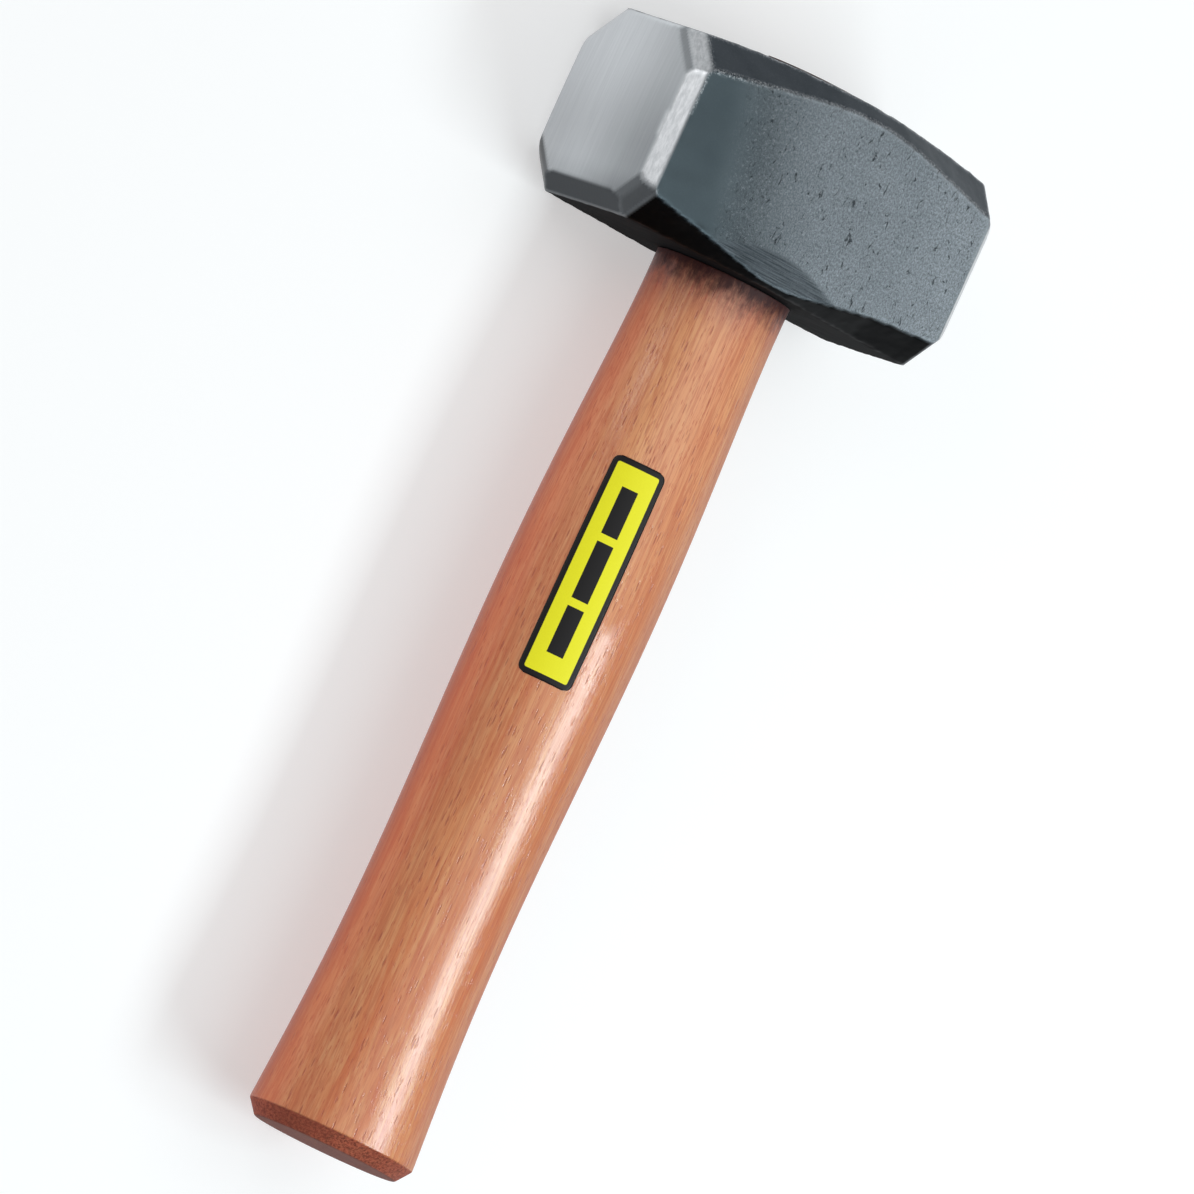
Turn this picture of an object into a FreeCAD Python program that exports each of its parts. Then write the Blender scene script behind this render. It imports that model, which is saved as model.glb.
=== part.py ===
import FreeCAD, Part
import math
import os

import Sketcher

# A short-handled sledgehammer, lying on one cheek of its head.
# Frame: origin at the centre of the lower cheek, on the surface that the hammer rests on.
# +X runs along the head to its rear face, -Y runs down the handle, and +Z is up.
# All sizes are millimetres.

DIMENSIONS = {
    # Head: a square bar with an arched top, and its four long corners ground off.
    "head_length": 98.4,
    "head_width": 45.0,
    "head_arch": 3.4,
    "corner_leg": 7.0,
    "crown_radius": 500.0,
    # End bevels: length along the head, and width across its end on each side.
    "end_bevel": 3.5,
    "rear_leg": 3.5,
    "face_under_leg": 5.0,
    "face_cheek_leg": 4.3,
    "face_back_leg": 2.5,
    "face_top_bevel": 1.2,
    "face_top_leg": 1.5,
    # End corners: two facets, meeting at the first length along the head and width across its
    # end, and running out at the last ones.
    "facet_bevel": 1.4,
    "facet_leg": 2.9,
    "corner_bevel": 4.3,
    "facet_width": 6.0,
    # Corner bevels: the cheeks spread into them over the eye, by these heights.
    "upper_spread": 8.6,
    "upper_spread_at": 6.0,
    "upper_blend": 125.0,
    "lower_spread": 6.2,
    "lower_spread_at": -3.0,
    "lower_blend": 80.0,
    "lower_tail": 1.4,
    "lower_tail_at": 26.0,
    # Eye: an oval hole through the head, wider at both mouths than at its waist.
    "eye_mouth_length": 33.0,
    "eye_mouth_width": 24.4,
    "eye_waist_length": 30.0,
    "eye_waist_width": 21.6,
    "tenon_proud": 0.7,
    # Handle: its oval widths along X, at distances below the head's underside, and how far it
    # leans towards the striking face for each millimetre down.
    "oval_ratio": 0.75,
    "handle_lean": 0.0065,
    "neck_gap": 0.2,
    "neck_width": 36.1,
    "upper_width": 38.3,
    "upper_at": 38.75,
    "belly_width": 40.8,
    "belly_at": 90.75,
    "waist_width": 38.9,
    "waist_at": 156.75,
    "flare_width": 41.1,
    "flare_at": 189.75,
    "butt_width": 44.3,
    "butt_at": 212.9,
    "butt_chamfer": 2.75,
    "handle_below_head": 216.5,
    # Kerf and the wooden wedge in it.
    "kerf_top": 4.2,
    "kerf_slot": 1.4,
    "wedge_depth": 36.0,
    "kerf_depth": 41.0,
    "wedge_width": 29.6,
    # Steel wedges, driven across the wooden one.
    "steel_top": 2.4,
    "steel_tip": 0.8,
    "steel_depth": 20.0,
    "steel_width": 14.0,
    "steel_offset": 7.5,
    # Label: a film wrapped on the handle, tilted about the handle's axis from straight up.
    "label_length": 54.0,
    "label_width": 14.0,
    "label_corner": 2.0,
    "label_film": 0.15,
    "label_at": 74.25,
    "label_tilt": 20.0,
    "label_offset": 8.9,
}

CENTRE = "dims.head_width / 2"
TOP = "(dims.head_width / 2 + dims.head_arch)"
UNDERSIDE = "dims.head_width / 2"
HALF_LENGTH = "dims.head_length / 2"
BEVEL_END = "(dims.head_length / 2 - dims.end_bevel)"

doc = FreeCAD.newDocument("Sledgehammer")


def make_sheet():
    """The spreadsheet that holds every driving dimension under its own name."""
    sheet = doc.addObject("Spreadsheet::Sheet", "dims")
    for row, (name, value) in enumerate(DIMENSIONS.items(), start=1):
        sheet.set(f"A{row}", name)
        sheet.set(f"B{row}", str(value))
        sheet.setAlias(f"B{row}", name)
    doc.recompute()
    return sheet


dims = make_sheet()


def value(expression):
    """The number that an expression of the driving dimensions comes to."""
    return float(dims.evalExpression(expression))


def bind(item, **expressions):
    """Bind properties of a document object to the sheet; __ in a name stands for a dot."""
    for name, expression in expressions.items():
        item.setExpression(name.replace("__", "."), expression)


def outline(sketch, corners, arcs=None):
    """Draw a closed outline through corners, which are pairs of expressions.

    arcs gives, for the side that starts at a corner, the radius expression of an outward arc.
    """
    arcs = arcs or {}
    points = [FreeCAD.Vector(value(across), value(up), 0) for across, up in corners]
    count = len(points)
    for index in range(count):
        start = points[index]
        end = points[(index + 1) % count]
        if index in arcs:
            radius = value(arcs[index])
            chord = end - start
            outward = FreeCAD.Vector(chord.y, -chord.x, 0).normalize()
            rise = radius - math.sqrt(radius**2 - (chord.Length / 2) ** 2)
            crest = (start + end) / 2 + outward * rise
            sketch.addGeometry(Part.Arc(start, crest, end), False)
        else:
            sketch.addGeometry(Part.LineSegment(start, end), False)
    for index in range(count):
        ends = (index, 2, (index + 1) % count, 1)
        sketch.addConstraint(Sketcher.Constraint("Coincident", *ends))
    for index, (across, up) in enumerate(corners):
        for kind, expression in (("DistanceX", across), ("DistanceY", up)):
            number = sketch.addConstraint(
                Sketcher.Constraint(kind, -1, 1, index, 1, value(expression))
            )
            sketch.setExpression(f"Constraints[{number}]", expression)
    for index, expression in arcs.items():
        number = sketch.addConstraint(Sketcher.Constraint("Radius", index, value(expression)))
        sketch.setExpression(f"Constraints[{number}]", expression)


def extrude(name, sketch, half_length):
    """Extrude a free sketch both ways along its normal, by half_length each way."""
    slab = doc.addObject("Part::Extrusion", name)
    slab.Base = sketch
    slab.DirMode = "Normal"
    slab.Solid = True
    bind(slab, LengthFwd=half_length, LengthRev=half_length)
    return slab


def long_slab(name, turn, corners, arcs=None):
    """A slab whose outline lies along the head, turned about the head's axis from flat."""
    sketch = doc.addObject("Sketcher::SketchObject", f"{name}_outline")
    sketch.Placement = FreeCAD.Placement(
        FreeCAD.Vector(0, 0, value(CENTRE)), FreeCAD.Rotation(FreeCAD.Vector(1, 0, 0), turn)
    )
    bind(sketch, Placement__Base__z=CENTRE)
    outline(sketch, corners, arcs)
    return extrude(name, sketch, "dims.head_width")


def end_corners(low_leg, high_leg, high_bevel):
    """Corners of the head seen square to its length, anticlockwise.

    The legs are the striking face's bevels on the low and the high side, and high_bevel is the
    length along the head of its high one.
    """
    edge = CENTRE
    high_end = f"({HALF_LENGTH} - {high_bevel})"
    rear = f"({edge} - dims.rear_leg)"
    return [
        (f"-{HALF_LENGTH}", f"-({edge} - {low_leg})"),
        (f"-{BEVEL_END}", f"-{edge}"),
        (BEVEL_END, f"-{edge}"),
        (HALF_LENGTH, f"-{rear}"),
        (HALF_LENGTH, rear),
        (BEVEL_END, edge),
        (f"-{high_end}", edge),
        (f"-{HALF_LENGTH}", f"({edge} - {high_leg})"),
    ]


def blend_ends(peak_at, peak, blend, start, start_height, end, end_height):
    """Where an arc of radius blend, tangent to both slopes of a peak, leaves each slope."""
    rise = f"(({peak} - {start_height}) / ({peak_at} - {start}))"
    fall = f"(({end_height} - {peak}) / ({end} - {peak_at}))"
    reach = f"({blend} * tan((atan({rise}) - atan({fall})) / 2))"
    first = (
        f"({peak_at} - {reach} * cos(atan({rise})))",
        f"({peak} - {reach} * sin(atan({rise})))",
    )
    last = (
        f"({peak_at} + {reach} * cos(atan({fall})))",
        f"({peak} + {reach} * sin(atan({fall})))",
    )
    return first, last


def corner_corners():
    """Outline between two opposite long corner bevels, anticlockwise, and its two arcs.

    Heights are measured square to the bevels, so a spread along the cheek counts by 1/sqrt(2).
    """
    edge = "((dims.head_width - dims.corner_leg) / sqrt(2))"
    inner = f"({edge} - dims.facet_width)"
    facet = f"({edge} - dims.facet_leg)"
    facet_end = f"({HALF_LENGTH} - dims.facet_bevel)"
    corner_end = f"({HALF_LENGTH} - dims.corner_bevel)"
    upper = blend_ends(
        "dims.upper_spread_at",
        f"({edge} + dims.upper_spread / sqrt(2))",
        "dims.upper_blend",
        f"(0 - {corner_end})",
        edge,
        corner_end,
        edge,
    )
    tail = f"({edge} + dims.lower_tail / sqrt(2))"
    lower = blend_ends(
        "dims.lower_spread_at",
        f"({edge} + dims.lower_spread / sqrt(2))",
        "dims.lower_blend",
        f"(0 - {corner_end})",
        edge,
        "dims.lower_tail_at",
        tail,
    )
    corners = [
        (f"-{HALF_LENGTH}", f"-{inner}"),
        (f"-{facet_end}", f"-{facet}"),
        (f"-{corner_end}", f"-{edge}"),
        (lower[0][0], f"-{lower[0][1]}"),
        (lower[1][0], f"-{lower[1][1]}"),
        ("dims.lower_tail_at", f"-{tail}"),
        (corner_end, f"-{edge}"),
        (facet_end, f"-{facet}"),
        (HALF_LENGTH, f"-{inner}"),
        (HALF_LENGTH, inner),
        (facet_end, facet),
        (corner_end, edge),
        upper[1],
        upper[0],
        (f"-{corner_end}", edge),
        (f"-{facet_end}", facet),
        (f"-{HALF_LENGTH}", inner),
    ]
    arcs = {3: "dims.lower_blend", 12: "dims.upper_blend"}
    return corners, arcs


def make_head_blank():
    """The head without its eye: what four slabs and two crown spheres have in common."""
    half_chord = f"({HALF_LENGTH} - (dims.end_bevel + dims.face_top_bevel) / 2)"
    arch_radius = f"({half_chord}^2 + dims.head_arch^2) / (2 * dims.head_arch)"
    side = end_corners("dims.face_under_leg", "dims.face_top_leg", "dims.face_top_bevel")
    plan = end_corners("dims.face_back_leg", "dims.face_cheek_leg", "dims.end_bevel")
    side_slab = long_slab("side_slab", 0, side, {5: arch_radius})
    plan_slab = long_slab("plan_slab", 90, plan)
    corners, arcs = corner_corners()
    corner_slabs = [
        long_slab("front_corner_slab", 45, corners, arcs),
        long_slab("back_corner_slab", -45, corners, arcs),
    ]
    crowns = []
    for name, sign in (("striking_crown", "-"), ("rear_crown", "")):
        crown = doc.addObject("Part::Sphere", name)
        bind(
            crown,
            Radius="dims.crown_radius",
            Placement__Base__x=f"{sign}({HALF_LENGTH} - dims.crown_radius)",
            Placement__Base__z=CENTRE,
        )
        crowns.append(crown)
    blank = doc.addObject("Part::MultiCommon", "head_blank")
    blank.Shapes = [side_slab, plan_slab, *corner_slabs, *crowns]
    return blank


def oval(name, length, width, down, across="0"):
    """An ellipse square to the head's Y axis, across and down from the head's centre."""
    ring = doc.addObject("Part::Ellipse", name)
    ring.Placement = FreeCAD.Placement(
        FreeCAD.Vector(0, 0, 0), FreeCAD.Rotation(FreeCAD.Vector(1, 0, 0), 90)
    )
    bind(
        ring,
        MajorRadius=f"({length}) / 2",
        MinorRadius=f"({width}) / 2",
        Placement__Base__x=across,
        Placement__Base__y=f"-({down})",
        Placement__Base__z=CENTRE,
    )
    return ring


def loft(name, rings, ruled=False):
    """A solid through rings, in order."""
    solid = doc.addObject("Part::Loft", name)
    solid.Sections = rings
    solid.Solid = True
    solid.Ruled = ruled
    return solid


def make_eye_core():
    """The solid that fills the eye, from just inside the neck to just proud of the top."""
    mouth = ("dims.eye_mouth_length", "dims.eye_mouth_width")
    waist = ("dims.eye_waist_length", "dims.eye_waist_width")
    return loft(
        "eye_core",
        [
            oval("eye_top", *mouth, f"-({TOP} + dims.tenon_proud)"),
            oval("eye_waist", *waist, "0"),
            oval("eye_bottom", *mouth, f"{UNDERSIDE} + 1"),
        ],
    )


def grip_rings(prefix, extra="0"):
    """The handle's ovals from neck to butt, each made larger by extra all round."""
    stations = [
        ("neck", "dims.neck_gap"),
        ("upper", "dims.upper_at"),
        ("belly", "dims.belly_at"),
        ("waist", "dims.waist_at"),
        ("flare", "dims.flare_at"),
        ("butt", "dims.butt_at"),
    ]
    rings = []
    for station, distance in stations:
        width = f"dims.{station}_width"
        rings.append(
            oval(
                f"{prefix}_{station}",
                f"{width} + 2 * {extra}",
                f"{width} * dims.oval_ratio + 2 * {extra}",
                f"{UNDERSIDE} + {distance}",
                f"-dims.handle_lean * {distance}",
            )
        )
    return rings


def make_butt():
    """The chamfered end of the handle, below the grip."""
    narrow = "dims.butt_width - 2 * dims.butt_chamfer"
    depth = "dims.butt_width * dims.oval_ratio"
    return loft(
        "butt_end",
        [
            oval(
                "butt_edge",
                "dims.butt_width",
                depth,
                f"{UNDERSIDE} + dims.butt_at",
                "-dims.handle_lean * dims.butt_at",
            ),
            oval(
                "butt_face",
                narrow,
                f"{depth} - 2 * dims.butt_chamfer",
                f"{UNDERSIDE} + dims.handle_below_head",
                "-dims.handle_lean * dims.handle_below_head",
            ),
        ],
        ruled=True,
    )


def body_sketch(body, name, role, height):
    """A sketch on an origin plane of its body, raised to height along +Z where it is given."""
    sketch = body.newObject("Sketcher::SketchObject", name)
    plane = next(item for item in body.Origin.OriginFeatures if item.Role == role)
    sketch.AttachmentSupport = [(plane, "")]
    sketch.MapMode = "FlatFace"
    if height:
        bind(sketch, AttachmentOffset__Base__z=height)
    return sketch


def pad(body, sketch, length):
    """A pad of sketch, centred on its plane."""
    feature = body.newObject("PartDesign::Pad", f"{sketch.Name}_pad")
    feature.Profile = sketch
    feature.Midplane = True
    bind(feature, Length=length)
    return feature


def new_body(name):
    """An empty PartDesign body."""
    body = doc.addObject("PartDesign::Body", name)
    doc.recompute()
    return body


def wedge_corners(top_width, tip_width, depth, centre):
    """A wedge's outline, from its flat top at the tenon's end down to its tip."""
    top = f"({TOP} + dims.tenon_proud)"
    return [
        (f"{centre} - {tip_width} / 2", f"{top} - {depth}"),
        (f"{centre} + {tip_width} / 2", f"{top} - {depth}"),
        (f"{centre} + {top_width} / 2", f"{top}"),
        (f"{centre} - {top_width} / 2", f"{top}"),
    ]


def make_kerf():
    """What the saw and the wooden wedge take out of the tenon."""
    sketch = doc.addObject("Sketcher::SketchObject", "kerf_outline")
    turn = FreeCAD.Rotation(FreeCAD.Vector(0, 1, 0), 90)
    sketch.Placement = FreeCAD.Placement(FreeCAD.Vector(0, 0, 0), turn)
    bind(sketch, Placement__Base__z=CENTRE)
    top = f"({TOP} + dims.tenon_proud)"
    outline(
        sketch,
        [
            ("-dims.kerf_slot / 2", f"{top} - dims.kerf_depth"),
            ("dims.kerf_slot / 2", f"{top} - dims.kerf_depth"),
            ("dims.kerf_slot / 2", f"{top} - dims.wedge_depth"),
            ("dims.kerf_top / 2", top),
            ("-dims.kerf_top / 2", top),
            ("-dims.kerf_slot / 2", f"{top} - dims.wedge_depth"),
        ],
    )
    return extrude("kerf", sketch, "dims.eye_mouth_length")


def make_steel_wedge(name, label, side):
    """One steel wedge, across the wooden wedge; side is - towards the striking face."""
    body = new_body(name)
    sketch = body_sketch(body, f"{name}_outline", "XY_Plane", CENTRE)
    centre = f"{side}dims.steel_offset"
    outline(sketch, wedge_corners("dims.steel_top", "dims.steel_tip", "dims.steel_depth", centre))
    pad(body, sketch, "dims.steel_width")
    body.Label = label
    return body


def make_wooden_blank():
    """The wooden wedge before the steel ones are driven into it."""
    body = new_body("WoodenBlank")
    sketch = body_sketch(body, "wooden_outline", "YZ_Plane", None)
    top = f"({TOP} + dims.tenon_proud)"
    outline(
        sketch,
        [
            (f"{top} - dims.wedge_depth", f"{CENTRE} - dims.kerf_slot / 2"),
            (top, f"{CENTRE} - dims.kerf_top / 2"),
            (top, f"{CENTRE} + dims.kerf_top / 2"),
            (f"{top} - dims.wedge_depth", f"{CENTRE} + dims.kerf_slot / 2"),
        ],
    )
    pad(body, sketch, "dims.wedge_width")
    return body


def fuse(name, shapes):
    """The union of shapes."""
    union = doc.addObject("Part::MultiFuse", name)
    union.Shapes = shapes
    union.Refine = True
    return union


def cut(name, base, tool, label=None):
    """What is left of base after tool is taken out."""
    rest = doc.addObject("Part::Cut", name)
    rest.Base = base
    rest.Tool = tool
    if label:
        rest.Label = label
    return rest


def make_label(grip):
    """The label: the part of a thin sleeve on the handle that a rounded outline takes."""
    sleeve = loft("label_sleeve", grip_rings("sleeve", "dims.label_film"))
    sketch = doc.addObject("Sketcher::SketchObject", "label_outline")
    tilt = FreeCAD.Rotation(FreeCAD.Vector(0, 1, 0), -value("dims.label_tilt"))
    sketch.Placement = FreeCAD.Placement(FreeCAD.Vector(0, 0, 0), tilt)
    bind(
        sketch,
        Placement__Base__x="-dims.label_offset",
        Placement__Base__y=f"-({UNDERSIDE} + dims.label_at)",
        Placement__Base__z=f"{CENTRE} + dims.label_offset",
    )
    half_long = "dims.label_length / 2"
    half_wide = "dims.label_width / 2"
    long_in = f"({half_long} - dims.label_corner)"
    wide_in = f"({half_wide} - dims.label_corner)"
    outline(
        sketch,
        [
            (f"-{wide_in}", f"-{half_long}"),
            (wide_in, f"-{half_long}"),
            (half_wide, f"-{long_in}"),
            (half_wide, long_in),
            (wide_in, half_long),
            (f"-{wide_in}", half_long),
            (f"-{half_wide}", long_in),
            (f"-{half_wide}", f"-{long_in}"),
        ],
        {corner: "dims.label_corner" for corner in (1, 3, 5, 7)},
    )
    punch = extrude("label_punch", sketch, "dims.label_width")
    patch = doc.addObject("Part::Common", "label_patch")
    patch.Base = sleeve
    patch.Tool = punch
    return cut("Label", patch, grip, "label")


def build():
    """Make every piece and return the objects whose shapes are the separate pieces."""
    eye_core = make_eye_core()
    head = cut("Head", make_head_blank(), eye_core, "head")

    steel_wedges = [
        make_steel_wedge("SteelWedgeFront", "steel_wedge_front", "-"),
        make_steel_wedge("SteelWedgeRear", "steel_wedge_rear", ""),
    ]
    steel = fuse("steel_pair", steel_wedges)

    grip = loft("grip", grip_rings("grip"))
    whole = fuse("whole_handle", [grip, make_butt(), eye_core])
    sawn = cut("sawn_handle", whole, make_kerf())
    handle = cut("Handle", sawn, steel, "handle")

    wooden = cut("WoodenWedge", make_wooden_blank(), steel, "wooden_wedge")
    label = make_label(grip)
    doc.recompute()
    return [head, handle, wooden, *steel_wedges, label]


def check_objects():
    """Stop if any object of the document failed to compute."""
    for item in doc.Objects:
        faults = [state for state in item.State if state in ("Invalid", "Error")]
        if faults:
            raise RuntimeError(f"{item.Name} is {faults}")


def export(pieces):
    """Check each piece and write it to its own STEP file."""
    os.makedirs("parts", exist_ok=True)
    for piece in pieces:
        shape = piece.Shape
        if shape.isNull() or not shape.isValid():
            raise RuntimeError(f"{piece.Label} has no valid shape")
        if len(shape.Solids) != 1:
            raise RuntimeError(f"{piece.Label} has {len(shape.Solids)} solids, not one")
    for piece in pieces:
        piece.Shape.exportStep(f"parts/{piece.Label}.step")
        print(f"{piece.Label}: {piece.Shape.Volume:.1f} mm3")


pieces = build()
check_objects()
export(pieces)
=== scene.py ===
import math
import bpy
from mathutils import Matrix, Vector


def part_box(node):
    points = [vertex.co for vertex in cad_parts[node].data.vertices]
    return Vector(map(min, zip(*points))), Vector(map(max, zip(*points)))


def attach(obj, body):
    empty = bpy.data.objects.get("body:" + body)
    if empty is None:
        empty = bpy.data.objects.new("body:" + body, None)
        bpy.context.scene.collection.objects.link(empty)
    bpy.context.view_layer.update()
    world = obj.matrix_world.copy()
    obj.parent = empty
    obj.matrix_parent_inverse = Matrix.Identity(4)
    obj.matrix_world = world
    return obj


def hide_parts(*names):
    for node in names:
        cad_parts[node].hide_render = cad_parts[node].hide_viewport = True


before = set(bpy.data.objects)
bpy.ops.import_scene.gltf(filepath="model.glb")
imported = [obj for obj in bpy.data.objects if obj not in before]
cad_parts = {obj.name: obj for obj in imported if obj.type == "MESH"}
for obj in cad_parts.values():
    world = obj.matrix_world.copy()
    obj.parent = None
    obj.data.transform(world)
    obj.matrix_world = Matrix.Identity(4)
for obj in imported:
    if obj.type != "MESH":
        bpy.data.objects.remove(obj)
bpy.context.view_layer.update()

from types import SimpleNamespace

import bmesh
import bpy
import numpy as np
from mathutils import Matrix, Vector, noise
from mathutils.bvhtree import BVHTree
from mathutils.kdtree import KDTree

MM = 0.001

# Places that the frame gives, in metres.
HEAD_LOW, HEAD_HIGH = (Vector(corner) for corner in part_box("head"))
LABEL_LOW, LABEL_HIGH = (Vector(corner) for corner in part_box("label"))
NECK_Y = HEAD_LOW.y
BUTT_Y = Vector(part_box("handle")[0]).y
AXIS_Z = (HEAD_LOW.z + HEAD_HIGH.z) / 2
HEAD_HALF = (HEAD_HIGH.z - HEAD_LOW.z) / 2
HEAD_CENTRE = Vector(((HEAD_LOW.x + HEAD_HIGH.x) / 2, NECK_Y + HEAD_HALF, AXIS_Z))

# Camera: direction from the object to it, and the picture's right.
VIEW_BACK = Vector((-0.6133, -0.0796, 0.7858))
VIEW_RIGHT = Vector((0.6978, 0.4114, 0.5863))
VIEW_DISTANCE = 12.0
VIEW_SPAN = 0.2693
SENSOR = 36.0
AIM_RIGHT = -0.0379
AIM_UP = -0.0923


# ---------------------------------------------------------------------------
# Materials
# ---------------------------------------------------------------------------

class Shader:
    """Builds one material's nodes; each call returns the output socket of a new node."""

    def __init__(self, name):
        self.material = bpy.data.materials.new(name)
        self.material.use_nodes = True
        self.tree = self.material.node_tree
        self.surface = self.tree.nodes["Principled BSDF"]
        self.place = self.node("ShaderNodeTexCoord").outputs["Object"]

    def node(self, kind, **settings):
        """A new node of that kind with these settings."""
        made = self.tree.nodes.new(kind)
        for name, value in settings.items():
            setattr(made, name, value)
        return made

    def feed(self, socket, value):
        """Link value to socket if it is a socket, or else set it."""
        if isinstance(value, bpy.types.NodeSocket):
            self.tree.links.new(value, socket)
        else:
            socket.default_value = value

    def set(self, **inputs):
        """Set or link the surface's own inputs; _ in a name stands for a space."""
        for name, value in inputs.items():
            self.feed(self.surface.inputs[name.replace("_", " ")], value)

    def math(self, operation, *values, clamp=False):
        made = self.node("ShaderNodeMath", operation=operation, use_clamp=clamp)
        for socket, value in zip(made.inputs, values):
            self.feed(socket, value)
        return made.outputs[0]

    def plus(self, first, second):
        return self.math("ADD", first, second)

    def minus(self, first, second):
        return self.math("SUBTRACT", first, second)

    def times(self, first, second):
        return self.math("MULTIPLY", first, second)

    def largest(self, first, *others):
        """The largest of two or more values."""
        for other in others:
            first = self.math("MAXIMUM", first, other)
        return first

    def step(self, value, low, high, to_low=0.0, to_high=1.0):
        """A smooth step from to_low to to_high as value goes from low to high."""
        made = self.node("ShaderNodeMapRange", interpolation_type="SMOOTHSTEP")
        for socket, number in zip(made.inputs, (value, low, high, to_low, to_high)):
            self.feed(socket, number)
        return made.outputs[0]

    def mix(self, factor, first, second):
        """A colour mixed from first to second by factor."""
        made = self.node("ShaderNodeMix", data_type="RGBA")
        self.feed(made.inputs["Factor"], factor)
        self.feed(made.inputs[6], first)
        self.feed(made.inputs[7], second)
        return made.outputs[2]

    def stretched(self, x, y, z):
        """Object coordinates in cells per millimetre along each axis."""
        made = self.node("ShaderNodeMapping")
        self.feed(made.inputs["Vector"], self.place)
        self.feed(made.inputs["Scale"], (x / MM, y / MM, z / MM))
        return made.outputs[0]

    def noise(self, vector, detail=2.0, roughness=0.5, distortion=0.0):
        made = self.node("ShaderNodeTexNoise")
        self.feed(made.inputs["Vector"], vector)
        self.feed(made.inputs["Scale"], 1.0)
        self.feed(made.inputs["Detail"], detail)
        self.feed(made.inputs["Roughness"], roughness)
        self.feed(made.inputs["Distortion"], distortion)
        return made.outputs["Fac"]

    def cells(self, vector):
        """Distance to the nearest cell point, and a random number for that cell."""
        made = self.node("ShaderNodeTexVoronoi")
        self.feed(made.inputs["Vector"], vector)
        self.feed(made.inputs["Scale"], 1.0)
        split = self.node("ShaderNodeSeparateColor")
        self.feed(split.inputs[0], made.outputs["Color"])
        return made.outputs["Distance"], split.outputs[0]

    def axes(self, vector):
        """The x, y and z of a vector."""
        split = self.node("ShaderNodeSeparateXYZ")
        self.feed(split.inputs[0], vector)
        return split.outputs

    def painted(self, name):
        """The red, green and blue of a mesh attribute."""
        made = self.node("ShaderNodeAttribute", attribute_name=name)
        split = self.node("ShaderNodeSeparateColor")
        self.feed(split.inputs[0], made.outputs["Color"])
        return split.outputs

    def bump(self, height, distance_mm, normal=None):
        """A normal bumped by height, on top of another normal where one is given."""
        made = self.node("ShaderNodeBump")
        self.feed(made.inputs["Height"], height)
        self.feed(made.inputs["Distance"], distance_mm * MM)
        if normal is not None:
            self.feed(made.inputs["Normal"], normal)
        return made.outputs[0]


def srgb(red, green, blue):
    """A linear colour from 0 to 255 screen values."""
    def linear(level):
        level /= 255
        return level / 12.92 if level <= 0.04045 else ((level + 0.055) / 1.055) ** 2.4
    return (linear(red), linear(green), linear(blue), 1.0)


def grey(level):
    return (level, level, level, 1)


# Colour attributes of the head's mesh, and the mask in each of their channels. The first mask of
# the second layer is painted shade on the underside; the first two of the third layer are painted
# shade on the ends and painted light and shade across the cheeks.
HEAD_LAYERS = {
    "zones": ("bare", "cheek", "rim"),
    "wear": ("under", "smooth", "facet"),
    "tone": ("dim", "toward_rear", "bright"),
    "side": ("belly",),
}

# Steel, in linear colours. A pair goes from the low end of its noise to the high end.
BRUSHED = ((0.56, 0.585, 0.61, 1), (0.74, 0.765, 0.79, 1))
CROSS_GROUND = ((0.48, 0.495, 0.51, 1), (0.66, 0.67, 0.685, 1))
SCALE = ((0.040, 0.050, 0.060, 1), (0.066, 0.078, 0.092, 1))
# Scale with painted shade, nearly black, for the underside and low bevels.
SCALE_IN_PAINTED_SHADE = ((0.001, 0.001, 0.002, 1), (0.008, 0.009, 0.010, 1))
# Cheek colours with painted shade by the striking face and painted light towards the rear.
SHADED_CHEEK = ((0.046, 0.060, 0.067, 1), (0.074, 0.092, 0.101, 1))
LIT_CHEEK = ((0.31, 0.342, 0.368, 1), (0.46, 0.492, 0.523, 1))
GROUND_STREAKS = ((0.025, 0.031, 0.036, 1), (0.12, 0.135, 0.15, 1))
# Painted shade on the ends' low bevels, lower faces and high corner facets.
PAINTED_END_SHADE_COLOUR = (0.018, 0.021, 0.025, 1)
SCALE_FLECK = (0.12, 0.13, 0.145, 1)
CHEEK_MOTTLE = (0.046, 0.055, 0.063, 1)
CHEEK_FLECK = (0.46, 0.48, 0.51, 1)
PIT = (0.012, 0.014, 0.018, 1)
WORN_EDGE = (0.62, 0.64, 0.66, 1)


def steel_marks(made, masks):
    """The noises of the head's steel, by name."""
    marks = SimpleNamespace(
        brushed=made.noise(made.stretched(0.6, 0.05, 2.2), detail=4, roughness=0.6),
        crossed=made.noise(made.stretched(2.0, 0.35, 1.0), detail=4, roughness=0.7),
        grain=made.noise(made.stretched(1.7, 1.5, 1.7), detail=6, roughness=0.85),
        speckle=made.noise(made.stretched(2.4, 1.6, 2.4), detail=4, roughness=0.8),
        clouds=made.noise(made.stretched(0.07, 0.07, 0.07), detail=4),
        scratches=made.noise(made.stretched(0.09, 3.0, 3.0), detail=5, roughness=0.7),
        plain=made.minus(1.0, masks.smooth),
    )
    dash_place = made.stretched(1.1, 0.42, 1.1)
    dashes = made.noise(dash_place, detail=3, roughness=0.6, distortion=0.8)
    pits = made.times(made.step(dashes, 0.62, 0.67), made.step(marks.grain, 0.36, 0.50))
    pitted = made.math("SUBTRACT", marks.plain, made.times(masks.facet, 0.8), clamp=True)
    marks.pits = made.times(pits, pitted)
    return marks


def bare_end_tone(made, masks, marks):
    """The brushed ends and the brighter bevels beside them, with painted shade towards their low
    edges.
    """
    brushed = made.mix(marks.brushed, *BRUSHED)
    crossed = made.mix(made.step(marks.crossed, 0.3, 0.7), *CROSS_GROUND)
    tone = made.mix(masks.bright, brushed, crossed)
    # Painted shade over the ends, darkest on their low bevels.
    return made.mix(masks.dim, tone, PAINTED_END_SHADE_COLOUR)


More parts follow.
